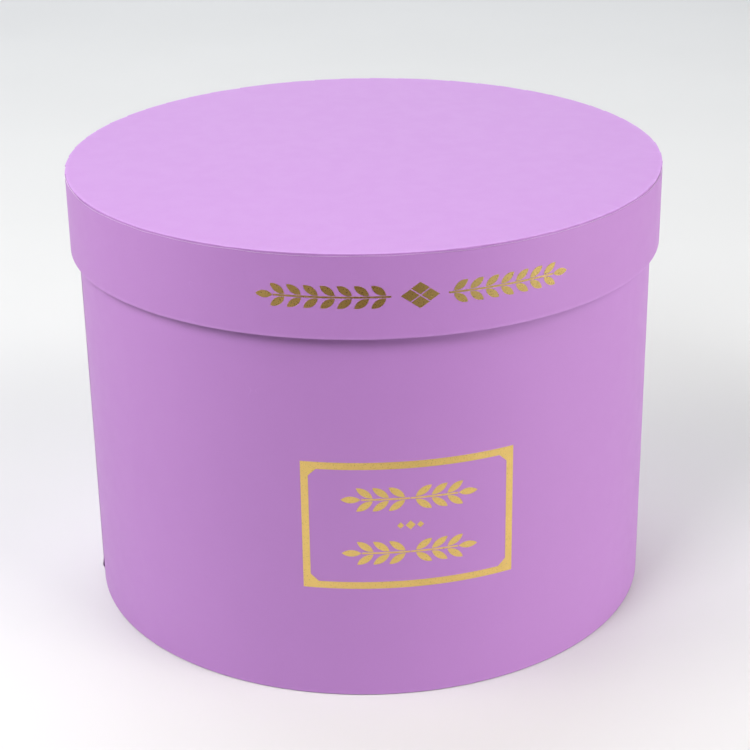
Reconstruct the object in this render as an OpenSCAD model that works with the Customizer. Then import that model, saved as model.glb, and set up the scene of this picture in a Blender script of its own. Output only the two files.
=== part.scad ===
// Round rigid flower box with a deep lift-off lid, in millimetres.
// The origin is the centre of the underside, +Z is up, and the printed front faces -Y.
// Greyboard carries the shape. Glued papers cover it, and hot foil decorates the front.

/* [Box] */
// Height of the closed box, from the underside to the top of the lid
closed_h = 228; // [160:1:320]
// Thickness of the greyboard in walls, floor and lid
board_t = 2; // [1.5:0.1:2.5]

/* [Lid] */
// Outside diameter of the lid over its paper
lid_d = 300; // [260:1:360]
// Depth of the lid's rim
rim_h = 40.4; // [32:0.2:60]
// How far the lid stands out from the body, all round
lid_step = 4.3; // [4.2:0.1:8]
// Turn of the lid's print away from the body's front, in degrees
lid_turn = 1.7; // [-5:0.1:5]

/* [Papers] */
// Thickness of the lilac cover paper and of the lining paper
paper_t = 0.2; // [0.15:0.05:0.25]
// Thickness of a glue film, which keeps neighbouring layers apart
glue_t = 0.05; // [0.03:0.01:0.08]
// Overlap where a rolled paper strip meets its own end
lap_w = 12; // [8:1:20]
// Width that a cover paper turns in over the edge of a board
turn_in = 15; // [10:1:25]
// Number of tabs that a notched paper edge is cut into
tab_count = 60; // [40:1:72]
// Strip of the top paper left showing above the rim's cover paper
edge_show = 1.1; // [0.6:0.1:2]

/* [Foil] */
// Thickness of the stamped foil
foil_t = 0.1; // [0.06:0.01:0.2]
// Width of the foil frame on the front of the body, measured round the wall
frame_w = 102.2; // [80:0.2:120]
// Height of the foil frame
frame_h = 66; // [50:0.2:80]
// Height of the middle of the foil frame above the underside
frame_z = 92; // [60:0.2:110]
// Width of the frame's line
frame_line = 3.6; // [2:0.1:6]
// Distance of the middle of the lid's print below the top of the lid
lid_print_drop = 20.2; // [14:0.1:24]

/* [Hidden] */
$fn = 180;

// Colours
lilac = [0.80, 0.60, 0.87];
lining = [0.95, 0.93, 0.94];
greyboard = [0.62, 0.58, 0.52];
kraft = [0.72, 0.58, 0.42];
gold = [0.85, 0.69, 0.36];

layer = paper_t + glue_t;

// Radii of the lid's layers, from the outside in
lid_r = lid_d / 2;
top_wrap_r = lid_r - layer;
rim_board_r = top_wrap_r - layer;
rim_board_inner_r = rim_board_r - board_t;
rim_turn_r = rim_board_inner_r - glue_t;
rim_liner_r = rim_turn_r - layer;

// Radii of the body's layers, from the outside in
body_r = lid_r - lid_step;
wall_board_r = body_r - layer;
wall_inner_r = wall_board_r - board_t;
wall_turn_r = wall_inner_r - glue_t;
wall_liner_r = wall_turn_r - layer;

// Heights of the lid's layers, from the top down
lid_board_z = closed_h - layer - board_t;
lid_flange_z = lid_board_z - layer;
lid_under_z = lid_flange_z - layer;
rim_z = closed_h - rim_h;
rim_board_z = rim_z + layer;
rim_board_h = closed_h - layer - rim_board_z;

// Heights of the body's layers, from the floor up
wrap_flange_z = layer;
board_z = wrap_flange_z + layer;
floor_top_z = board_z + board_t;
liner_flange_z = floor_top_z + glue_t;
floor_liner_z = liner_flange_z + layer;
body_h = lid_under_z;
wall_board_h = body_h - layer - board_z;

// Widths of the turned edges and the tapes
skirt_h = 14;
base_flange_w = 12;
liner_flange_w = 10;
sheet_margin = 2.5;
liner_drop = 3;
tape_w = 26;
tape_t = 0.15;
butt_gap = 0.4;
notch_w = 2.4;
notch_stop = 1;

// Directions of the joints, in degrees from +X
body_seam = 180;
lid_seam = 100;
body_butt = 96;
lid_butt = 62;

// Garlands: a stem with pairs of detached leaves
stem_line = 0.9;
leaf_gap = 0.35;
leaf_angle = 34;
leaf_fill = 0.82;
first_leaf = 0.3;

// The two rows of garlands in the frame
row_w = 65;
row_h = 12;
row_gap = 28;
row_pairs = 3;

// The small diamonds between the rows
diamond_half = 2.4;
diamond_pitch = 4.7;
side_diamond = 0.7;

// The lid's print: a garland, four lozenges and a garland
lid_print_z = closed_h - lid_print_drop;
lid_garland_l = 61;
lid_garland_h = 10.5;
lid_garland_pairs = 7;
lozenge_w = 8.4;
lozenge_h = 5.9;
lozenge_gap = 0.7;
print_gap = 4.2;

// A small overshoot for cutting tools
cut = 1;

// ---------- shared shapes ----------

module disc(r, z, t) {
    translate([0, 0, z])
        cylinder(r = r, h = t);
}

module ring(r, t, z, h) {
    translate([0, 0, z])
        difference() {
            cylinder(r = r, h = h);
            translate([0, 0, -cut])
                cylinder(r = r - t, h = h + 2 * cut);
        }
}

// Part of a ring, centred on a direction and as wide as the arc w at its outer face
module arc_strip(r, t, z, h, direction, w) {
    sweep = w / r * 180 / PI;
    rotate([0, 0, direction - sweep / 2])
        rotate_extrude(angle = sweep)
            translate([r - t, z])
                square([t, h]);
}

// The end of a cover paper, glued over its own start on a wall of radius r. It stops
// a paper's thickness short of the folds above and below.
module lap(r, z, h, direction) {
    arc_strip(r + paper_t, 1.5 * paper_t, z + paper_t, h - 2 * paper_t, direction, lap_w);
}

// A board strip rolled into a ring, with its ends butted together
module butted_ring(r, t, z, h, direction) {
    difference() {
        ring(r, t, z, h);
        rotate([0, 0, direction])
            translate([r - t - cut, -butt_gap / 2, z - cut])
                cube([t + 2 * cut, butt_gap, h + 2 * cut]);
    }
}

// V cuts up or down a paper tube, between the heights from (wide) and to (point)
module tube_notches(r, from, to) {
    for (i = [0 : tab_count - 1])
        rotate([0, 0, (i + 0.5) * 360 / tab_count])
            translate([r - cut, 0, 0])
                rotate([90, 0, 90])
                    linear_extrude(2 * cut)
                        polygon([[-notch_w / 2, from], [notch_w / 2, from], [0, to]]);
}

// V cuts in a flat paper flange, between the radii from (wide) and to (point)
module flange_notches(from, to, z) {
    for (i = [0 : tab_count - 1])
        rotate([0, 0, (i + 0.5) * 360 / tab_count])
            translate([0, 0, z - cut])
                linear_extrude(paper_t + 2 * cut)
                    polygon([[from, -notch_w / 2], [to, 0], [from, notch_w / 2]]);
}

// A flat paper flange that turns in from radius r, cut into tabs
module tabbed_flange(r, w, z) {
    difference() {
        ring(r, w, z, paper_t);
        flange_notches(r - w - cut / 2, r - notch_stop, z);
    }
}

// ---------- foil drawing ----------

// Foil on a wall of radius r. Its drawing is seen from the front, with its origin at the
// height z and at the distance s round the wall from the middle of the front.
module stamped(r, s, z) {
    rotate([0, 0, s / r * 180 / PI])
        intersection() {
            ring(r + foil_t, foil_t, z - frame_h, 2 * frame_h);
            translate([0, -r / 2, z])
                rotate([90, 0, 0])
                    linear_extrude(r)
                        children();
        }
}

// Outline of a pointed leaf between two arcs, from the origin along +X
module leaf(length, width) {
    arc_r = (length * length + width * width) / width / 4;
    intersection() {
        translate([length / 2, width / 2 - arc_r])
            circle(r = arc_r);
        translate([length / 2, arc_r - width / 2])
            circle(r = arc_r);
    }
}

// Outline of a lozenge round the origin
module lozenge(w, h) {
    polygon([[-w / 2, 0], [0, -h / 2], [w / 2, 0], [0, h / 2]]);
}

// A stem with pairs of leaves and one at its tip, on a wall of radius r. It starts at the
// distance s round the wall and runs to the right (heading 1) or to the left (heading -1).
module garland(r, s, z, length, height, pairs, heading) {
    leaf_y = stem_line / 2 + leaf_gap;
    leaf_l = (height / 2 - leaf_y) / sin(leaf_angle);
    stem_l = length - leaf_l - leaf_gap;
    pitch = stem_l / pairs;
    leaf_w = pitch * sin(leaf_angle) * leaf_fill;
    away = heading > 0 ? 0 : 180;
    stem_direction = -90 + (s + heading * stem_l / 2) / r * 180 / PI;
    arc_strip(r + foil_t, foil_t, z - stem_line / 2, stem_line, stem_direction, stem_l);
    for (i = [0 : pairs - 1], side = [-1, 1])
        stamped(r, s + heading * pitch * (i + first_leaf), z)
            translate([0, side * leaf_y])
                rotate(away + heading * side * leaf_angle)
                    leaf(leaf_l, leaf_w);
    stamped(r, s + heading * (stem_l + leaf_gap), z)
        rotate(away)
            leaf(leaf_l, leaf_w);
}

// Two garlands that grow outwards from the middle of the front of the body
module garland_row(z) {
    start = leaf_gap / 2;
    for (heading = [-1, 1])
        garland(body_r, heading * start, z, row_w / 2 - start, row_h, row_pairs, heading);
}

// ---------- body ----------

module body_wall_board() {
    color(greyboard)
        butted_ring(wall_board_r, board_t, board_z, wall_board_h, body_butt);
}

module body_floor_board() {
    color(greyboard)
        disc(wall_inner_r - glue_t, board_z, board_t);
}

// Tape across the wall's butt joint, on its inner face below the turned-in paper
module body_joint_tape() {
    low = floor_liner_z + liner_drop;
    high = body_h - paper_t - turn_in - liner_drop;
    color(kraft)
        arc_strip(wall_turn_r, tape_t, low, high - low, body_butt, tape_w);
}

// Cover paper: lapped round the wall, turned in at the top and under at the bottom
module body_outer_wrap() {
    wall_h = body_h - wrap_flange_z;
    lap_direction = body_seam - lap_w / body_r * 90 / PI;
    color(lilac)
        union() {
            ring(body_r, paper_t, wrap_flange_z, wall_h);
            lap(body_r, wrap_flange_z, wall_h, lap_direction);
            ring(body_r, body_r - wall_turn_r + paper_t, body_h - paper_t, paper_t);
            ring(wall_turn_r, paper_t, body_h - turn_in, turn_in);
            tabbed_flange(body_r, base_flange_w, wrap_flange_z);
        }
}

module body_wall_liner() {
    liner_h = body_h - liner_drop - liner_flange_z;
    color(lining)
        union() {
            ring(wall_liner_r, paper_t, liner_flange_z, liner_h);
            tabbed_flange(wall_liner_r, liner_flange_w, liner_flange_z);
        }
}

module body_floor_liner() {
    color(lining)
        disc(wall_liner_r - layer - sheet_margin, floor_liner_z, paper_t);
}

module body_underside_sheet() {
    color(lining)
        disc(body_r - sheet_margin, 0, paper_t);
}

// A frame whose inner corners are cut off at a slant
module foil_frame() {
    outer = body_r * sin(frame_w / 2 / body_r * 180 / PI);
    inner = body_r * sin((frame_w / 2 - frame_line) / body_r * 180 / PI);
    opening = frame_h / 2 - frame_line;
    slant = frame_line;
    color(gold)
        stamped(body_r, 0, frame_z)
            difference() {
                square([2 * outer, frame_h], center = true);
                polygon([
                    [-inner, -opening + slant], [-inner + slant, -opening],
                    [inner - slant, -opening], [inner, -opening + slant],
                    [inner, opening - slant], [inner - slant, opening],
                    [-inner + slant, opening], [-inner, opening - slant]
                ]);
            }
}

module foil_upper_garland() {
    color(gold)
        garland_row(frame_z + row_gap / 2);
}

module foil_lower_garland() {
    color(gold)
        garland_row(frame_z - row_gap / 2);
}

module foil_diamonds() {
    color(gold)
        for (i = [-1 : 1]) {
            width = 2 * diamond_half * (i == 0 ? 1 : side_diamond);
            stamped(body_r, i * diamond_pitch, frame_z)
                lozenge(width, width);
        }
}

// ---------- lid ----------

module lid_top_board() {
    color(greyboard)
        disc(rim_board_inner_r - glue_t, lid_board_z, board_t);
}

module lid_rim_board() {
    color(greyboard)
        butted_ring(rim_board_r, board_t, rim_board_z, rim_board_h, lid_butt);
}

// Tape across the rim's butt joint, between the turned-in paper and the lid's top
module lid_joint_tape() {
    low = rim_z + turn_in + glue_t;
    high = lid_flange_z - glue_t;
    color(kraft)
        arc_strip(rim_turn_r, tape_t, low, high - low, lid_butt, tape_w);
}

// Cover paper of the lid's top, turned down over the rim in notched tabs
module lid_top_wrap() {
    skirt_z = closed_h - skirt_h;
    color(lilac)
        difference() {
            union() {
                disc(top_wrap_r, closed_h - paper_t, paper_t);
                ring(top_wrap_r, paper_t, skirt_z, skirt_h);
            }
            tube_notches(top_wrap_r, skirt_z - cut / 2, closed_h - notch_stop);
        }
}

// Cover paper of the rim: lapped at the back and turned in over the bottom edge
module lid_rim_wrap() {
    wall_h = rim_h - edge_show;
    color(lilac)
        union() {
            ring(lid_r, paper_t, rim_z, wall_h);
            lap(lid_r, rim_z, wall_h, lid_seam);
            ring(lid_r, lid_r - rim_turn_r + paper_t, rim_z, paper_t);
            ring(rim_turn_r, paper_t, rim_z, turn_in);
        }
}

module lid_rim_liner() {
    liner_z = rim_z + liner_drop;
    color(lining)
        union() {
            ring(rim_liner_r, paper_t, liner_z, lid_flange_z + paper_t - liner_z);
            tabbed_flange(rim_liner_r, liner_flange_w, lid_flange_z);
        }
}

module lid_top_liner() {
    color(lining)
        disc(rim_liner_r - layer - paper_t, lid_under_z, paper_t);
}

module lid_garland(heading) {
    start = lozenge_w + lozenge_gap / 2 + print_gap;
    rotate([0, 0, lid_turn])
        garland(lid_r, heading * start, lid_print_z, lid_garland_l, lid_garland_h,
            lid_garland_pairs, heading);
}

module foil_lid_left_garland() {
    color(gold)
        lid_garland(-1);
}

module foil_lid_right_garland() {
    color(gold)
        lid_garland(1);
}

// Four lozenges that together make a larger one
module foil_lid_lozenges() {
    color(gold)
        rotate([0, 0, lid_turn])
            for (way = [[1, 0], [0, 1], [-1, 0], [0, -1]])
                stamped(lid_r, way[0] * (lozenge_w + lozenge_gap) / 2, lid_print_z)
                    translate([0, way[1] * (lozenge_h + lozenge_gap) / 2])
                        lozenge(lozenge_w, lozenge_h);
}

body_wall_board();
body_floor_board();
body_joint_tape();
body_outer_wrap();
body_wall_liner();
body_floor_liner();
body_underside_sheet();
foil_frame();
foil_upper_garland();
foil_lower_garland();
foil_diamonds();
lid_top_board();
lid_rim_board();
lid_joint_tape();
lid_top_wrap();
lid_rim_wrap();
lid_rim_liner();
lid_top_liner();
foil_lid_left_garland();
foil_lid_lozenges();
foil_lid_right_garland();
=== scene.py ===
import math
import random

import bmesh
import bpy
import numpy as np
from mathutils import Matrix, Vector

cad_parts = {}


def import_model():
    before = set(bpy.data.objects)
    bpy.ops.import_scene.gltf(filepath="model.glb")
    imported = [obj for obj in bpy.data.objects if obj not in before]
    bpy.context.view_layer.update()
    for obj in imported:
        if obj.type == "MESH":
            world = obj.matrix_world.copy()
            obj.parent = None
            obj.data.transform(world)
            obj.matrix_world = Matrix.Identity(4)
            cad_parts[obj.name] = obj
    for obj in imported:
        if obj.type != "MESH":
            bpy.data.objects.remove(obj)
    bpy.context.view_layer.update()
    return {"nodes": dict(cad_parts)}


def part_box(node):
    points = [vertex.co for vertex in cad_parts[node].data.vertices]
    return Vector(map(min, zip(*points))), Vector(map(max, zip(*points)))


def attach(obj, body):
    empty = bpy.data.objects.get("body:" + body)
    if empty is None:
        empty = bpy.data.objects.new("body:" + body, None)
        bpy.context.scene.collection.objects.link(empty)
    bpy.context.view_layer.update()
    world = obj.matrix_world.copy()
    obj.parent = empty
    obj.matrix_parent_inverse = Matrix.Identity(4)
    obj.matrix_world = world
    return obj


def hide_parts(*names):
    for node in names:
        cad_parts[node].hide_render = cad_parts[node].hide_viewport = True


# The looks of a round flower box: lilac cover papers, white linings and gold foil on a
# greyboard core. Lengths are in metres and angles round the box in degrees from +X.

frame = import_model()

MM = 0.001

# ---------- sizes taken from the frame ----------


def tidy(value):
    """A length to the nearest hundredth of a millimetre."""
    return round(value, 5)


def low(node):
    return tidy(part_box(node)[0].z)


def high(node):
    return tidy(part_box(node)[1].z)


def corner_radii(node):
    """The least and greatest distance of a CAD node's corners from the box's axis."""
    corners = [v.co for v in frame["nodes"][node].data.vertices]
    radii = [math.hypot(c.x, c.y) for c in corners]
    return tidy(min(radii)), tidy(max(radii))


PAPER = high("body_underside_sheet") - low("body_underside_sheet")
GLUE = low("body_outer_wrap") - high("body_underside_sheet")
LAYER = PAPER + GLUE

wall_inner_r, wall_outer_r = corner_radii("body_wall_board")
BODY_R = wall_outer_r + LAYER
BODY_TURN_R = wall_inner_r - GLUE - PAPER
WALL_LINER_R = BODY_TURN_R - LAYER
BODY_TOP = high("body_outer_wrap")

rim_inner_r, rim_outer_r = corner_radii("lid_rim_board")
LID_R = rim_outer_r + 2 * LAYER
TOP_PAPER_R = LID_R - LAYER
RIM_TURN_R = rim_inner_r - GLUE - PAPER
RIM_LINER_R = RIM_TURN_R - LAYER
LID_TOP = high("lid_top_wrap")
RIM_LOW = low("lid_rim_wrap")
RIM_EDGE = high("lid_rim_wrap")
TURN_IN = low("lid_joint_tape") - RIM_LOW - GLUE

# ---------- workmanship ----------

# Notches and laps. Seams are angles, and FINE is the angle of one cell of a sheet.
TABS = 60
NOTCH_W = 2.4 * MM
NOTCH_STOP = 1 * MM
LAP_W = 12 * MM
LAP_RISE = PAPER + 0.02 * MM
BODY_SEAM = 180
LID_SEAM = 100
WALL_LINER_SEAM = 62
RIM_LINER_SEAM = 236
CUT_JITTER = 0.8
FINE = 0.5

# Outer radii of the folds.
FOLD = 0.45 * MM
FOOT_FOLD = 0.35 * MM
LID_FOLD = 0.25 * MM
RIM_FOLD = 0.3 * MM

# How far hand work strays: ripples in a wall, the tabs along the lid's edge, the trimmed
# edge of the rim's paper, the loose tip of the body's lap, and half a foil's thickness.
RIPPLE = 0.025 * MM
PLEAT = 0.28 * MM
PLEAT_TOP = 0.97
HOLLOW = 0.08 * MM
BURR = 0.17 * MM
FLAP_LIFT = 0.6 * MM
SINK = 0.15 * MM
FOIL = 0.05 * MM


def smooth(x):
    """An S curve that goes from 0 at x = 0 to 1 at x = 1."""
    x = np.clip(x, 0, 1)
    return x * x * (3 - 2 * x)


def bell(x):
    """A hump that is 1 at x = 0 and fades out by x = -1 and x = 1."""
    return smooth(1 - np.abs(x))


def waves(angle, height, seed, amount):
    """Shallow ripples in a rolled wall, much longer up the wall than round it."""
    rng = random.Random(seed)
    total = np.zeros_like(angle)
    for cycles in (9, 14, 23, 31, 47):
        turn = rng.uniform(0, 2 * math.pi)
        lean = rng.uniform(-6, 6)
        total += np.sin(np.radians(angle) * cycles + turn + height * lean) / 5
    return amount * total


def on_top(angle, start):
    """0 round a lapped sheet, and 1 from where it lies on top of its own start."""
    return smooth((angle - (start + 360 - 0.9)) / 0.7)


# ---------- sheets of paper ----------


def rounded(corners, fold, longest=8 * MM, steps=6):
    """Points (r, z, wear and highlight) along a line through the corners, with each turn
    rounded off.

    The mark is 1 along a fold and fades within 2 mm of it. It paints the papers lighter
    there, partly as rubbed wear and partly as a painted highlight. A corner may give its
    own rounding as a third number."""
    line = [(corners[0][0], corners[0][1], False)]
    for before, corner, after in zip(corners, corners[1:], corners[2:]):
        radius = corner[2] if len(corner) > 2 else fold
        into = np.array(corner[:2]) - np.array(before[:2])
        out = np.array(after[:2]) - np.array(corner[:2])
        into = into / np.linalg.norm(into)
        out = out / np.linalg.norm(out)
        centre = np.array(corner[:2]) + radius * (out - into)
        for i in range(steps + 1):
            turn = i / steps * math.pi / 2
            point = centre - radius * (out * math.cos(turn) - into * math.sin(turn))
            line.append((point[0], point[1], True))
    line.append((corners[-1][0], corners[-1][1], False))
    points = [line[0]]
    for here, there in zip(line, line[1:]):
        length = math.hypot(there[0] - here[0], there[1] - here[1])
        if here[2] and there[2] and length < 2 * fold:
            points.append(there)
            continue
        marks = {1.0}
        for step in (0.6 * MM, 2 * MM):
            if length > 4 * step:
                marks |= {step / length, 1 - step / length}
        pieces = max(1, math.ceil(length / longest))
        marks |= {i / pieces for i in range(1, pieces)}
        for mark in sorted(marks):
            r = here[0] + (there[0] - here[0]) * mark
            z = here[1] + (there[1] - here[1]) * mark
            points.append((r, z, there[2] if mark == 1.0 else False))
    folds = [(p[0], p[1]) for p in points if p[2]]
    worn_and_highlit = []
    for r, z, _ in points:
        gap = min((math.hypot(r - f[0], z - f[1]) for f in folds), default=1)
        worn_and_highlit.append((r, z, float(1 - smooth(gap / (2 * MM)))))
    return worn_and_highlit


def spans(start, end, tabs, seed):
    """Stretches between hand-cut notches, as (first angle, last angle) pairs."""
    if not tabs:
        return [(start, end)]
    rng = random.Random(seed)
    pitch = 360 / tabs
    jitter = [rng.uniform(-CUT_JITTER, CUT_JITTER) for _ in range(tabs)]
    cuts = []
    first = math.floor(start / pitch)
    for i in range(first, first + 2 * tabs):
        angle = (i + 0.5) * pitch + jitter[i % tabs]
        if start + 1 < angle < end - 1:
            cuts.append(angle)
    if abs(end - start - 360) < 1e-6:
        shift = cuts[0]
        cuts = [c for c in cuts if c < shift + 360 - 1e-6]
        return list(zip(cuts, cuts[1:] + [shift + 360]))
    return list(zip([start] + cuts, cuts + [end]))


def rolled_sheet(name, path, start=0, end=360, tabs=0, depth=None, shape=None, drop=None,
                 seed=1, crease=None):
    """A sheet that follows a path of (r, z, wear and highlight) points, rolled round the
    axis.

    The path is the sheet's outer face, with the sheet behind it on the left. depth gives
    how far a notch is open at each point of the path, from 0 to 1. shape moves the
    points, and drop says which cells are cut away. crease adds a column at that share of
    each tab. Faces of a cut edge get slot 1."""
    path = np.array(path, float)
    count = len(path)
    direction = np.gradient(path[:, :2], axis=0)
    direction /= np.linalg.norm(direction, axis=1)[:, None]
    back = np.stack([-direction[:, 1], direction[:, 0]], axis=1)
    faces = [path[:, :2], path[:, :2] + PAPER * back]
    depth = np.zeros(count) if depth is None else np.array(depth, float)

    stretches = spans(start, end, tabs, seed)
    whole = abs(end - start - 360) < 1e-6
    angles, span_of, left_edge = [], [], []
    for index, (a, b) in enumerate(stretches):
        cells = max(2, math.ceil((b - a) / FINE))
        shares = {j / cells for j in range(cells + 1)} | ({crease} if crease else set())
        for share in sorted(shares):
            angles.append((a, b, share))
            span_of.append(index)
            left_edge.append(share == 0)
    columns = len(angles)

    grids = []
    for face in faces:
        r = np.tile(face[:, 0], (columns, 1))
        z = np.tile(face[:, 1], (columns, 1))
        angle = np.zeros((columns, count))
        for c, (a, b, share) in enumerate(angles):
            open_left = 1 if (whole or span_of[c] > 0) and tabs else 0
            open_right = 1 if (whole or span_of[c] < len(stretches) - 1) and tabs else 0
            gap = np.degrees(NOTCH_W / 2 * depth / np.maximum(face[:, 0], MM))
            angle[c] = a + (b - a) * share
            angle[c] += gap * (1 - share) * open_left - gap * share * open_right
        if shape:
            r, z = shape(angle, r, z, path[:, 0], path[:, 1])
        grids.append(np.stack([
            r * np.cos(np.radians(angle)), r * np.sin(np.radians(angle)), z
        ], axis=2))

    keep = {}
    for c in range(columns - 1):
        if left_edge[c + 1]:
            continue
        for k in range(count - 1):
            middle = angles[c][0] + (angles[c][1] - angles[c][0]) * angles[c][2]
            if not (drop and drop(middle, path[k], path[k + 1])):
                keep[c, k] = True

    def beside(c, k, step):
        """The cell left or right of a cell, across an uncut notch too."""
        other = c + step
        if other < 0:
            other = columns - 2 if whole else None
        elif other >= columns - 1:
            other = 0 if whole else None
        elif left_edge[other + 1] and step > 0:
            other += 1
        elif left_edge[other + 1]:
            other -= 1
        if other is None:
            return None
        if span_of[other] != span_of[c] or (whole and abs(other - c) > 1):
            if max(depth[k], depth[k + 1]) > 0:
                return None
        return (other, k) if (other, k) in keep else None

    corners = np.concatenate([grids[0].reshape(-1, 3), grids[1].reshape(-1, 3)])
    inner = columns * count
    quads, slots = [], []
    for c, k in keep:
        a, b = c * count + k, (c + 1) * count + k
        quads.append((a, b, b + 1, a + 1))
        quads.append((inner + a, inner + a + 1, inner + b + 1, inner + b))
        slots += [0, 0]
        edges = []
        if beside(c, k, -1) is None:
            edges.append((a + 1, a))
        if beside(c, k, 1) is None:
            edges.append((b, b + 1))
        if (c, k - 1) not in keep:
            edges.append((a, b))
        if (c, k + 1) not in keep:
            edges.append((b + 1, a + 1))
        for p, q in edges:
            quads.append((q, p, inner + p, inner + q))
            slots.append(1)

    mesh = bpy.data.meshes.new(name)
    mesh.from_pydata([tuple(p) for p in corners], [], quads)
    mesh.polygons.foreach_set("material_index", slots)
    # The fold mark, for folds painted lighter as rubbed wear and as a painted highlight.
    wear_and_highlight = mesh.attributes.new("wear_and_highlight", "FLOAT", "POINT")
    wear_and_highlight.data.foreach_set("value", np.tile(path[:, 2], 2 * columns))
    return finished(name, mesh)


def finished(name, mesh, sharp=40):
    """Welds a mesh, clears stray points, turns its faces outwards and smooths it."""
    work = bmesh.new()
    work.from_mesh(mesh)
    bmesh.ops.remove_doubles(work, verts=work.verts, dist=1e-6)
    stray = [v for v in work.verts if not v.link_faces]
    bmesh.ops.delete(work, geom=stray, context="VERTS")
    bmesh.ops.recalc_face_normals(work, faces=work.faces)
    work.to_mesh(mesh)
    work.free()
    mesh.shade_smooth()
    mesh.set_sharp_from_angle(angle=math.radians(sharp))
    piece = bpy.data.objects.new(name, mesh)
    bpy.context.scene.collection.objects.link(piece)
    return piece


def refined(path, bottom, top, step):
    """The same path, with points no further apart than step between two heights."""
    points = [path[0]]
    for here, there in zip(path, path[1:]):
        inside = bottom <= min(here[1], there[1]) and max(here[1], there[1]) <= top
        length = math.hypot(there[0] - here[0], there[1] - here[1])
        pieces = max(1, math.ceil(length / step)) if inside else 1
        for i in range(1, pieces + 1):
            share = i / pieces
            points.append(tuple(a + (b - a) * share for a, b in zip(here, there)))
    return points


def notched(path, wall_r, flange_r, level):
    """How far a notch is open along a path whose flange lies flat at one level."""
    tip = wall_r - NOTCH_STOP
    return [
        max(0, (tip - r) / (tip - flange_r)) if abs(z - level) < FOLD / 2 else 0
        for r, z, _ in path
    ]


def disc_path(r, z, upward):
    """From the rim to the middle of a disc that faces up, or back out if it faces down."""
    rings = [r, r - 0.5 * MM, r - 1.5 * MM, r - 4 * MM]
    rings += [r * (1 - i / 10) for i in range(1, 11)]
    points = [(ring, z, float(i == 0)) for i, ring in enumerate(rings)]
    return points if upward else points[::-1]


def place(piece, body, node, slot, materials):
    """Puts a piece on its body, in place of its CAD node and with its materials."""
    for material in materials:
        piece.data.materials.append(material)
    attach(piece, body)
    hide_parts(node)
    return piece


# ---------- papers of the body ----------


def body_cover_paper():
    """Lapped at the left, turned in over the top edge and notched under the floor."""
    foot = low("body_outer_wrap")
    flange_r = corner_radii("body_outer_wrap")[0]
    path = rounded([
        (flange_r, foot), (BODY_R, foot, FOOT_FOLD), (BODY_R, BODY_TOP),
        (BODY_TURN_R, BODY_TOP), (BODY_TURN_R, BODY_TOP - TURN_IN)
    ], FOLD, longest=16 * MM)
    path = refined(path, foot + 1.9 * MM, foot + 18 * MM, MM)
    lap = math.degrees(LAP_W / BODY_R)
    start = BODY_SEAM - lap
    end = BODY_SEAM + 360
    depth = notched(path, BODY_R, flange_r, foot)

    def shape(angle, r, z, path_r, path_z):
        outside = (path_r > BODY_R - 0.01 * MM).astype(float)
        wall = outside * smooth((path_z - foot - FOLD) / (3 * MM))
        wall = wall * smooth((BODY_TOP - FOLD - path_z) / (3 * MM))
        r = r + wall * waves(angle, z, 5, RIPPLE)
        r = r + wall * on_top(angle, start) * LAP_RISE
        free = smooth((angle - (end - lap * 0.7)) / (lap * 0.7))
        lift = smooth((path_z - foot - 2 * MM) / (1.5 * MM))
        lift = lift * (1 - smooth((path_z - foot - 4 * MM) / (5 * MM)))
        r = r + wall * free * (FLAP_LIFT * lift + 0.12 * MM)
        return r, z

    def drop(angle, here, there):
        """Under the lap, the covered end is cut back from the folds and the flange."""
        middle = (here[1] + there[1]) / 2
        on_wall = foot + 3 * MM < middle < BODY_TOP - 3 * MM and here[0] > BODY_R - MM
        return angle < start + lap and not on_wall

    piece = rolled_sheet("body_cover_paper", path, start, end, TABS, depth, shape, drop,
                         seed=11)
    return place(piece, "body", "body_outer_wrap", "lilac_paper", [LILAC, CORE])


def lapped(r_wall, start, seed):
    """A shape for a lining that overlaps its own start on the side that shows."""
    def shape(angle, r, z, path_r, path_z):
        wall = (np.abs(path_r - r_wall) < 0.01 * MM).astype(float)
        r = r - wall * on_top(angle, start) * LAP_RISE
        r = r + wall * waves(angle, z, seed, RIPPLE)
        return r, z
    return shape


def body_wall_lining():
    """Lapped inside the back of the wall, with a notched foot on the floor."""
    top = high("body_wall_liner")
    foot = low("body_wall_liner") + PAPER
    flange_r = corner_radii("body_wall_liner")[0]
    path = rounded([(WALL_LINER_R, top), (WALL_LINER_R, foot), (flange_r, foot)], FOLD)
    lap = math.degrees(LAP_W / WALL_LINER_R)
    start = WALL_LINER_SEAM - lap
    end = WALL_LINER_SEAM + 360
    depth = notched(path, WALL_LINER_R, flange_r, foot)

    def drop(angle, here, there):
        return angle < start + lap and min(here[1], there[1]) < foot + 3 * MM

    shape = lapped(WALL_LINER_R, start, 7)
    piece = rolled_sheet("body_wall_lining", path, start, end, TABS, depth, shape, drop,
                         seed=12)
    return place(piece, "body", "body_wall_liner", "lining_paper", [LINING, CORE])


def body_floor_lining():
    """A disc whose edge stands up a little between spots of glue."""
    r = corner_radii("body_floor_liner")[1]

    def shape(angle, radius, z, path_r, path_z):
        edge = smooth((path_r - (r - 5 * MM)) / (5 * MM))
        curl = 0.5 + 0.5 * waves(angle, z, 21, 1)
        return radius, z + 0.18 * MM * edge * curl

    path = disc_path(r, high("body_floor_liner"), True)
    piece = rolled_sheet("body_floor_lining", path, shape=shape)
    return place(piece, "body", "body_floor_liner", "lining_paper", [LINING, CORE])


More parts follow.
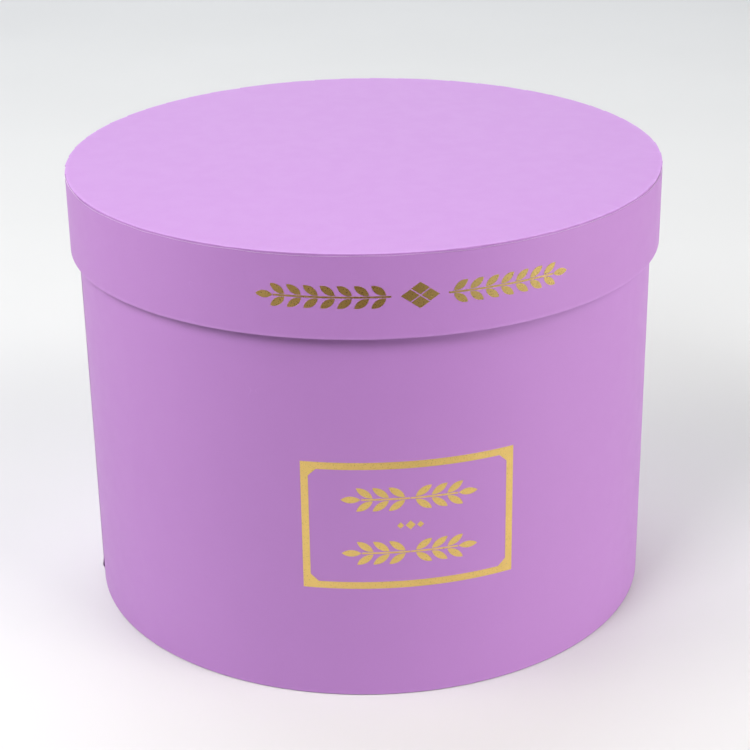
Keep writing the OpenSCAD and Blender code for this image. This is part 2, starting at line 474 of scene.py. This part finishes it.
def body_underside_paper():
    """The sheet under the floor. It sinks a little into the gaps between the tabs."""
    r = corner_radii("body_underside_sheet")[1]
    flange_r = corner_radii("body_outer_wrap")[0]
    pitch = 360 / TABS

    def shape(angle, radius, z, path_r, path_z):
        under_tabs = smooth((path_r - flange_r + 2 * MM) / (4 * MM))
        under_tabs = under_tabs * (1 - smooth((path_r - r + MM) / (2 * MM)))
        gap = bell(((angle / pitch) % 1 - 0.5) / 0.12)
        return radius, z + 0.04 * MM * under_tabs * gap

    path = disc_path(r, low("body_underside_sheet"), False)
    piece = rolled_sheet("body_underside_paper", path, shape=shape)
    return place(piece, "body", "body_underside_sheet", "lining_paper", [LINING, CORE])


# ---------- papers of the lid ----------


def lid_top_paper():
    """A disc turned down over the rim in hand-folded tabs, which show as small pleats."""
    skirt_low = low("lid_top_wrap")
    path = rounded([
        (TOP_PAPER_R, skirt_low), (TOP_PAPER_R, LID_TOP), (0, LID_TOP)
    ], LID_FOLD, longest=12 * MM)
    path = refined(path, RIM_EDGE - 0.4 * MM, LID_TOP - LID_FOLD, 0.15 * MM)
    tip = LID_TOP - NOTCH_STOP
    depth = [
        max(0, (tip - z) / (tip - skirt_low)) if r > TOP_PAPER_R - LID_FOLD / 2 else 0
        for r, z, _ in path
    ]
    folds = np.array([a for a, b in spans(0, 360, TABS, 13)])
    ends = np.append(folds[1:], folds[0] + 360)
    rng = random.Random(31)
    fullness = np.array([rng.uniform(0.15, 1) for _ in folds])

    def shape(angle, r, z, path_r, path_z):
        """Each tab starts loose and hollow and ends tight, on top of the next one."""
        turned = (angle - folds[0]) % 360 + folds[0]
        tab = np.clip(np.searchsorted(folds, turned, "right") - 1, 0, TABS - 1)
        share = (turned - folds[tab]) / (ends - folds)[tab]
        tight = np.where(share > PLEAT_TOP + 1e-6, 0, share / PLEAT_TOP)
        slack = fullness[tab] * (1 - tight) ** 2
        at_fold = (path_r > TOP_PAPER_R - 1.01 * LID_FOLD)
        at_fold = at_fold & (path_z > LID_TOP - 1.01 * LID_FOLD)
        wide = np.where(at_fold, 0.8 + 0.7 * slack, 1)
        r = TOP_PAPER_R - (TOP_PAPER_R - r) * wide
        z = LID_TOP - (LID_TOP - z) * wide
        outer = smooth((path_r - TOP_PAPER_R + 3 * MM) / (3 * MM))
        band = smooth((path_z - RIM_EDGE) / (0.3 * MM)) * outer
        crest = smooth((path_z - LID_TOP + 0.7 * MM) / (0.4 * MM)) * outer
        full = fullness[tab] * tight ** 3
        r = r + crest * (PLEAT * full + 0.06 * MM) - band * HOLLOW * slack
        edge = smooth((path_r - TOP_PAPER_R + 4 * MM) / (4 * MM)) * (path_z > LID_TOP - MM)
        return r, z - SINK * edge * slack

    piece = rolled_sheet("lid_top_paper", path, 0, 360, TABS, depth, shape, seed=13,
                         crease=PLEAT_TOP)
    return place(piece, "lid", "lid_top_wrap", "lilac_paper", [LILAC, CORE])


def lid_rim_paper():
    """Lapped at the back, turned in below, with a hand-trimmed upper edge."""
    path = rounded([
        (RIM_TURN_R, RIM_LOW + TURN_IN), (RIM_TURN_R, RIM_LOW),
        (LID_R, RIM_LOW, RIM_FOLD), (LID_R, RIM_EDGE)
    ], FOLD)
    path = refined(path, RIM_EDGE - 0.61 * MM, RIM_EDGE, 0.2 * MM)
    lap = math.degrees(LAP_W / LID_R)
    start = LID_SEAM - lap / 2
    end = start + 360 + lap

    def shape(angle, r, z, path_r, path_z):
        outside = (path_r > LID_R - 0.01 * MM).astype(float)
        wall = outside * smooth((path_z - RIM_LOW - RIM_FOLD) / (3 * MM))
        top = smooth((path_z - (RIM_EDGE - 2 * MM)) / (2 * MM))
        r = r + wall * (1 - 0.7 * top) * waves(angle, z, 9, RIPPLE)
        r = r + wall * on_top(angle, start) * LAP_RISE
        burr = 0.5 + 2 * waves(angle, z * 0, 18, 1)
        at_edge = smooth((path_z - RIM_EDGE + 0.45 * MM) / (0.45 * MM))
        r = r + wall * at_edge * BURR * np.clip(burr, 0.1, 1)
        z = z + outside * top * waves(angle, z * 0, 17, 0.3 * MM)
        return r, z

    def drop(angle, here, there):
        on_wall = min(here[1], there[1]) > RIM_LOW + 3 * MM and here[0] > LID_R - MM
        return angle < start + lap and not on_wall

    piece = rolled_sheet("lid_rim_paper", path, start, end, shape=shape, drop=drop)
    return place(piece, "lid", "lid_rim_wrap", "lilac_paper", [LILAC, CORE])


def lid_rim_lining():
    """Lapped inside the rim, with a notched foot against the lid's top."""
    ceiling = high("lid_rim_liner") - PAPER
    bottom = low("lid_rim_liner")
    flange_r = corner_radii("lid_rim_liner")[0]
    path = rounded([
        (flange_r, ceiling), (RIM_LINER_R, ceiling), (RIM_LINER_R, bottom)
    ], FOLD)
    lap = math.degrees(LAP_W / RIM_LINER_R)
    start = RIM_LINER_SEAM - lap
    end = RIM_LINER_SEAM + 360
    depth = notched(path, RIM_LINER_R, flange_r, ceiling)

    def drop(angle, here, there):
        return angle < start + lap and max(here[1], there[1]) > ceiling - 3 * MM

    shape = lapped(RIM_LINER_R, start, 8)
    piece = rolled_sheet("lid_rim_lining", path, start, end, TABS, depth, shape, drop,
                         seed=14)
    return place(piece, "lid", "lid_rim_liner", "lining_paper", [LINING, CORE])


def lid_top_lining():
    """The disc inside the lid's top."""
    r = corner_radii("lid_top_liner")[1]
    path = disc_path(r, low("lid_top_liner"), False)
    piece = rolled_sheet("lid_top_lining", path)
    return place(piece, "lid", "lid_top_liner", "lining_paper", [LINING, CORE])


# ---------- foil ----------


def foil(name, node, body, wall_r):
    """A CAD foil cut into narrow facets and laid on the true round of its wall.

    It is cut while it is unrolled, with the way round the wall as x and the distance from
    the axis as z, so that a long facet doesn't cut through the thin foil."""
    mesh = frame["nodes"][node].data.copy()
    mesh.name = name
    mesh.materials.clear()
    work = bmesh.new()
    work.from_mesh(mesh)
    bmesh.ops.remove_doubles(work, verts=work.verts, dist=1e-6)
    for vert in work.verts:
        x, y, z = vert.co
        vert.co = (math.atan2(y, x) * wall_r, z, math.hypot(x, y))
    width = math.radians(FINE) * wall_r
    start = min(vert.co.x for vert in work.verts)
    end = max(vert.co.x for vert in work.verts)
    for i in range(math.ceil(start / width), math.ceil(end / width)):
        bmesh.ops.bisect_plane(
            work, geom=work.verts[:] + work.edges[:] + work.faces[:], dist=1e-6,
            plane_co=(i * width, 0, 0), plane_no=(1, 0, 0)
        )
    depths = [vert.co.z for vert in work.verts]
    middle = (min(depths) + max(depths)) / 2
    for vert in work.verts:
        along, z, depth = vert.co
        r = wall_r + (FOIL if depth > middle else -FOIL)
        vert.co = (r * math.cos(along / wall_r), r * math.sin(along / wall_r), z)
    bmesh.ops.remove_doubles(work, verts=work.verts, dist=5e-6)
    bmesh.ops.dissolve_degenerate(work, dist=1e-6, edges=work.edges)
    work.to_mesh(mesh)
    work.free()
    piece = finished(name, mesh, sharp=30)
    return place(piece, body, node, "gold_foil", [GOLD])


# ---------- materials ----------


class Shader:
    """A Principled material and short ways to add texture nodes to it."""

    def __init__(self, name):
        self.material = bpy.data.materials.new(name)
        self.material.use_nodes = True
        self.tree = self.material.node_tree
        self.surface = self.tree.nodes["Principled BSDF"]
        self.where = self.node("ShaderNodeTexCoord").outputs["Object"]

    def node(self, kind, inputs=None, **settings):
        made = self.tree.nodes.new(kind)
        for key, value in settings.items():
            setattr(made, key, value)
        for key, value in (inputs or {}).items():
            self.feed(value, made.inputs[key])
        return made

    def feed(self, value, socket):
        if isinstance(value, bpy.types.NodeSocket):
            self.tree.links.new(value, socket)
        else:
            socket.default_value = value

    def set(self, **values):
        for key, value in values.items():
            self.feed(value, self.surface.inputs[key.replace("_", " ")])

    def stretched(self, x, y, z):
        inputs = {"Vector": self.where, "Scale": (x, y, z)}
        return self.node("ShaderNodeMapping", inputs).outputs["Vector"]

    def noise(self, size, detail=2.0, where=None, roughness=0.5):
        """Soft noise from 0 to 1 with features of about the given size."""
        inputs = {"Vector": where or self.where, "Scale": 1 / size, "Detail": detail,
                  "Roughness": roughness}
        return self.node("ShaderNodeTexNoise", inputs).outputs["Fac"]

    def math(self, operation, a, b=0.0, clamp=False):
        made = self.node("ShaderNodeMath", {0: a, 1: b}, operation=operation)
        made.use_clamp = clamp
        return made.outputs[0]

    def span(self, value, start, end, low_end=0.0, high_end=1.0):
        """value between start and end becomes a smooth step between two numbers."""
        inputs = {"Value": value, "From Min": start, "From Max": end,
                  "To Min": low_end, "To Max": high_end}
        made = self.node("ShaderNodeMapRange", inputs, interpolation_type="SMOOTHSTEP")
        return made.outputs["Result"]

    def mix(self, share, a, b, blend="MIX"):
        made = self.node("ShaderNodeMix", {"Factor": share}, data_type="RGBA",
                         blend_type=blend)
        for value, index in ((a, 6), (b, 7)):
            if not isinstance(value, bpy.types.NodeSocket):
                value = (*value, 1)
            self.feed(value, made.inputs[index])
        return made.outputs[2]

    def hairline(self, size, width):
        """Thin curved lines, 1 on the line, such as the marks of light scuffs."""
        level = self.noise(size, 1.0)
        off = self.math("ABSOLUTE", self.math("SUBTRACT", level, 0.5))
        return self.span(off, 0.0, width, 1.0, 0.0)

    def bump(self, height, depth, strength=1.0, normal=None):
        inputs = {"Height": height, "Distance": depth, "Strength": strength}
        if normal:
            inputs["Normal"] = normal
        return self.node("ShaderNodeBump", inputs).outputs["Normal"]


def tinted(colour, factor):
    return tuple(min(1, c * factor) for c in colour)


def paper_material(name, colour, worn_and_highlit, gloss, scuffs=0.0):
    """Coated paper: faint clouds and fibres in its colour, and folds painted lighter,
    partly as rubbed wear and partly as a painted highlight.
    """
    s = Shader(name)
    cloud = s.noise(24 * MM, 3.0)
    fibre = s.noise(0.45 * MM, 4.0, roughness=0.65)
    tone = s.mix(s.span(cloud, 0.3, 0.7), tinted(colour, 1 - MOTTLE),
                 tinted(colour, 1 + MOTTLE))
    tone = s.mix(s.span(fibre, 0.35, 0.65, 0.0, 0.5), tone, tinted(colour, 0.95))
    # Folds are painted lighter here: partly rubbed wear, partly a painted highlight where
    # the folds catch the light.
    fold = s.node("ShaderNodeAttribute", attribute_name="wear_and_highlight").outputs["Fac"]
    patchy = s.span(s.noise(5 * MM, 5.0), 0.42, 0.68, 0.5, 1.0)
    rubbed_and_highlit = s.math("MULTIPLY", s.math("POWER", fold, 2.0), patchy)
    tone = s.mix(s.math("MULTIPLY", rubbed_and_highlit, 0.4), tone, worn_and_highlit)
    rough = s.span(s.noise(9 * MM, 4.0), 0.3, 0.7, gloss - 0.02, gloss + 0.025)
    if scuffs:
        sparse = s.span(s.noise(38 * MM, 2.0), 0.58, 0.66)
        line = s.math("MULTIPLY", s.hairline(26 * MM, 0.0012), sparse)
        tone = s.mix(s.math("MULTIPLY", line, scuffs), tone, worn_and_highlit)
        rough = s.math("ADD", rough, s.math("MULTIPLY", line, 0.12))
    grain = s.bump(fibre, 0.02 * MM, 0.35)
    relief = s.bump(s.noise(3.5 * MM, 3.0), 0.02 * MM, 0.12, grain)
    s.set(Base_Color=tone, Roughness=rough, IOR=1.5, Normal=relief)
    return s.material


def gold_material():
    """Hot foil: a thin metal film that follows the grain of the paper under it."""
    s = Shader("gold_hot_foil")
    grain = s.noise(0.6 * MM, 3.0, roughness=0.5)
    cloud = s.noise(6 * MM, 3.0)
    tone = s.mix(s.span(cloud, 0.3, 0.7), GOLD_COLOUR, tinted(GOLD_COLOUR, 0.96))
    rough = s.span(grain, 0.3, 0.7, 0.27, 0.31)
    s.set(Base_Color=tone, Metallic=1.0, Roughness=rough,
          Normal=s.bump(grain, 0.01 * MM, 0.08))
    return s.material


def greyboard_material():
    """Recycled board: grey-brown pulp with darker and lighter flecks."""
    s = Shader("greyboard")
    pulp = s.noise(6 * MM, 5.0)
    flecks = s.noise(0.7 * MM, 5.0, s.stretched(1, 1, 0.6), 0.7)
    tone = s.mix(s.span(pulp, 0.3, 0.7), (0.33, 0.30, 0.26), (0.42, 0.385, 0.33))
    tone = s.mix(s.span(flecks, 0.62, 0.72), tone, (0.17, 0.15, 0.13))
    tone = s.mix(s.span(flecks, 0.36, 0.26), tone, (0.55, 0.52, 0.47))
    rough = s.span(pulp, 0.2, 0.8, 0.82, 0.95)
    s.set(Base_Color=tone, Roughness=rough, Normal=s.bump(flecks, 0.08 * MM, 0.6))
    return s.material


def kraft_material():
    """Gummed kraft tape: brown, with long fibres along the roll."""
    s = Shader("kraft_tape")
    fibres = s.noise(1.2 * MM, 5.0, s.stretched(1, 1, 0.15), 0.7)
    cloud = s.noise(9 * MM, 3.0)
    tone = s.mix(s.span(cloud, 0.3, 0.7), (0.37, 0.225, 0.11), (0.46, 0.295, 0.155))
    tone = s.mix(s.span(fibres, 0.55, 0.75), tone, (0.25, 0.15, 0.075))
    rough = s.span(fibres, 0.3, 0.7, 0.55, 0.7)
    s.set(Base_Color=tone, Roughness=rough, Normal=s.bump(fibres, 0.04 * MM, 0.5))
    return s.material


MOTTLE = 0.004
LILAC_COLOUR = (0.383, 0.173, 0.474)
# The worn colours paint folds lighter, partly as rubbed wear and partly as a painted
# highlight; the lilac one also colours the scuffs.
LILAC_WORN_AND_HIGHLIT = (0.5, 0.26, 0.61)
LINING_COLOUR = (0.64, 0.63, 0.64)
LINING_WORN_AND_HIGHLIT = (0.68, 0.67, 0.68)
# The core that shows where a paper is cut is white, and reads as pale lilac beside it.
CORE_COLOUR = (0.74, 0.64, 0.77)
CORE_WORN_AND_HIGHLIT = (0.78, 0.68, 0.8)
GOLD_COLOUR = (0.76, 0.535, 0.175)

LILAC = paper_material("lilac_laminated_paper", LILAC_COLOUR, LILAC_WORN_AND_HIGHLIT, 0.52, scuffs=0.25)
LINING = paper_material("white_lining_paper", LINING_COLOUR, LINING_WORN_AND_HIGHLIT, 0.62)
CORE = paper_material("paper_cut_edge", CORE_COLOUR, CORE_WORN_AND_HIGHLIT, 0.8)
GOLD = gold_material()
GREYBOARD = greyboard_material()
KRAFT = kraft_material()


def dress_cad_node(node, material):
    """Gives a CAD node that keeps its own shape its material."""
    mesh = frame["nodes"][node].data
    mesh.materials.clear()
    mesh.materials.append(material)


for board in ("body_wall_board", "body_floor_board", "lid_rim_board", "lid_top_board"):
    dress_cad_node(board, GREYBOARD)
for tape in ("body_joint_tape", "lid_joint_tape"):
    dress_cad_node(tape, KRAFT)

body_cover_paper()
body_wall_lining()
body_floor_lining()
body_underside_paper()
lid_top_paper()
lid_rim_paper()
lid_rim_lining()
lid_top_lining()

for name, node, body, wall_r in (
    ("frame_foil", "foil_frame", "body", BODY_R),
    ("upper_garland_foil", "foil_upper_garland", "body", BODY_R),
    ("lower_garland_foil", "foil_lower_garland", "body", BODY_R),
    ("diamond_foil", "foil_diamonds", "body", BODY_R),
    ("lid_left_garland_foil", "foil_lid_left_garland", "lid", LID_R),
    ("lid_lozenge_foil", "foil_lid_lozenges", "lid", LID_R),
    ("lid_right_garland_foil", "foil_lid_right_garland", "lid", LID_R),
):
    foil(name, node, body, wall_r)


# ---------- stage, lights and camera ----------


def floor():
    """A plain pale floor that ends where its light does."""
    work = bmesh.new()
    bmesh.ops.create_circle(work, cap_ends=True, radius=FLOOR_R, segments=96)
    mesh = bpy.data.meshes.new("studio_floor")
    work.to_mesh(mesh)
    work.free()
    piece = bpy.data.objects.new("studio_floor", mesh)
    bpy.context.scene.collection.objects.link(piece)
    piece.location.z = -0.05 * MM
    s = Shader("floor_paint")
    cloud = s.noise(0.3, 3.0)
    tone = s.mix(s.span(cloud, 0.3, 0.7), FLOOR_DARK, FLOOR_PALE)
    s.set(Base_Color=tone, Roughness=0.6, Normal=s.bump(s.noise(1.5 * MM), 0.05 * MM, 0.2))
    mesh.materials.append(s.material)


def softbox(name, where, towards, size, power, tint=(1, 1, 1)):
    """A rectangular soft light that faces a point.

    Light is only sampled from its source, so that the cloth doesn't shade the floor."""
    data = bpy.data.lights.new(name, "AREA")
    data.shape = "RECTANGLE"
    data.size, data.size_y = size
    data.energy = power
    data.color = tint
    data.cycles.use_multiple_importance_sampling = False
    lamp = bpy.data.objects.new(name, data)
    lamp.location = where
    aim = Vector(towards) - Vector(where)
    lamp.rotation_euler = aim.to_track_quat("-Z", "Y").to_euler()
    bpy.context.scene.collection.objects.link(lamp)
    return lamp


def world():
    """A dim, even sky over a pale ground that goes on past the edge of the floor."""
    made = bpy.data.worlds.new("studio")
    made.use_nodes = True
    tree = made.node_tree
    where = tree.nodes.new("ShaderNodeTexCoord")
    split = tree.nodes.new("ShaderNodeSeparateXYZ")
    level = tree.nodes.new("ShaderNodeMapRange")
    level.inputs["From Min"].default_value = GROUND_TOP
    level.inputs["From Max"].default_value = SKY_FOOT
    level.inputs["To Min"].default_value = GROUND
    level.inputs["To Max"].default_value = SKY
    background = tree.nodes["Background"]
    background.inputs["Color"].default_value = (1, 1, 1, 1)
    tree.links.new(where.outputs["Generated"], split.inputs["Vector"])
    tree.links.new(split.outputs["Z"], level.inputs["Value"])
    tree.links.new(level.outputs["Result"], background.inputs["Strength"])
    bpy.context.scene.world = made


def dark_cloth():
    """A cloth on the floor in front, seen by the box and its foil but by no camera.

    It is dark brown in front of the lid's print and fades to grey at both ends."""
    outline = [
        (-1.3, -0.3), (-0.42, -0.36), (-0.3, -0.46), (0.3, -0.46),
        (0.36, -0.1), (1.3, -0.1), (1.3, -2.4), (-1.3, -2.4)
    ]
    mesh = bpy.data.meshes.new("dark_cloth")
    mesh.from_pydata([(x, y, MM) for x, y in outline], [], [range(len(outline))])
    piece = bpy.data.objects.new("dark_cloth", mesh)
    bpy.context.scene.collection.objects.link(piece)
    piece.visible_camera = False
    piece.visible_shadow = False
    s = Shader("cloth")
    across = s.node("ShaderNodeSeparateXYZ", {"Vector": s.where}).outputs["X"]
    left = s.span(across, -0.5, -1.05, 0.0, 0.7)
    right = s.span(across, 0.05, 0.5)
    weave = s.noise(2 * MM)
    dark = s.mix(weave, (0.062, 0.032, 0.022), (0.07, 0.038, 0.027))
    pale = s.mix(weave, (0.29, 0.31, 0.37), (0.3, 0.325, 0.39))
    s.set(Base_Color=s.mix(s.math("MAXIMUM", left, right), dark, pale), Roughness=0.9)
    mesh.materials.append(s.material)


def camera():
    """In front and a little to the left, looking down at the box."""
    turn = Matrix.Rotation(math.radians(CAMERA_TURN), 3, "Z")
    place = turn @ Vector((0, -CAMERA_AWAY, CAMERA_UP))
    forward = turn @ Vector((
        math.sin(CAMERA_YAW) * math.cos(CAMERA_PITCH),
        math.cos(CAMERA_YAW) * math.cos(CAMERA_PITCH),
        -math.sin(CAMERA_PITCH)
    ))
    right = forward.cross(Vector((0, 0, 1))).normalized()
    up = right.cross(forward)
    tilted_right = right * math.cos(CAMERA_ROLL) + up * math.sin(CAMERA_ROLL)
    tilted_up = up * math.cos(CAMERA_ROLL) - right * math.sin(CAMERA_ROLL)
    data = bpy.data.cameras.new("camera")
    data.lens = CAMERA_LENS
    data.sensor_width = 36
    data.clip_end = 50
    eye = bpy.data.objects.new("camera", data)
    basis = Matrix((tilted_right, tilted_up, -forward)).transposed()
    eye.matrix_world = Matrix.Translation(place) @ basis.to_4x4()
    bpy.context.scene.collection.objects.link(eye)
    bpy.context.scene.camera = eye


# The sky and ground change over between two heights of a direction of length 1.
SKY = 0.02
GROUND = 0.8
GROUND_TOP = -0.055
SKY_FOOT = -0.03
FLOOR_R = 2.1
FLOOR_DARK = (0.603, 0.606, 0.61)
FLOOR_PALE = (0.617, 0.62, 0.624)
WARM = (1.03, 1.0, 0.93)
COOL = (0.965, 1.0, 1.05)

# The camera: turned round the box and set back and up, then its own angles in radians.
CAMERA_TURN = -7.5
CAMERA_AWAY = 0.92906
CAMERA_UP = 0.50874
CAMERA_YAW = 0.0044
CAMERA_PITCH = 0.4094
CAMERA_ROLL = -0.0149
CAMERA_LENS = 91.35

floor()
dark_cloth()
world()
softbox("top_back", (-0.2, 0.9, 2.1), (0, 0, 0.1), (2.0, 1.2), 14.5, COOL)
softbox("back_light", (0, 2.6, 1.75), (0, 0, 0.15), (4.0, 2.2), 55, COOL)
softbox("left_side", (-2.3, 0.1, 1.0), (0, 0, 0.15), (1.6, 1.8), 27.2, WARM)
softbox("left_high", (-1.6, -0.3, 1.9), (0, 0, 0.15), (1.0, 1.0), 13.3, WARM)
softbox("left_near", (-0.8, -0.9, 1.3), (0, 0, 0.15), (0.6, 0.6), 17.7)
softbox("right_near", (0.8, -0.9, 1.3), (0, 0, 0.15), (0.6, 0.6), 4, WARM)
softbox("right_side", (2.3, 0.1, 1.0), (0, 0, 0.15), (1.6, 1.8), 4.6, WARM)
softbox("right_high", (1.2, -1.2, 1.8), (0, 0, 0.15), (1.0, 1.0), 16.5, WARM)
softbox("right_low", (2.2, -1.0, 0.45), (0, 0, 0.15), (1.2, 0.7), 40.6, WARM)
camera()
bpy.context.scene.view_settings.view_transform = "Standard"
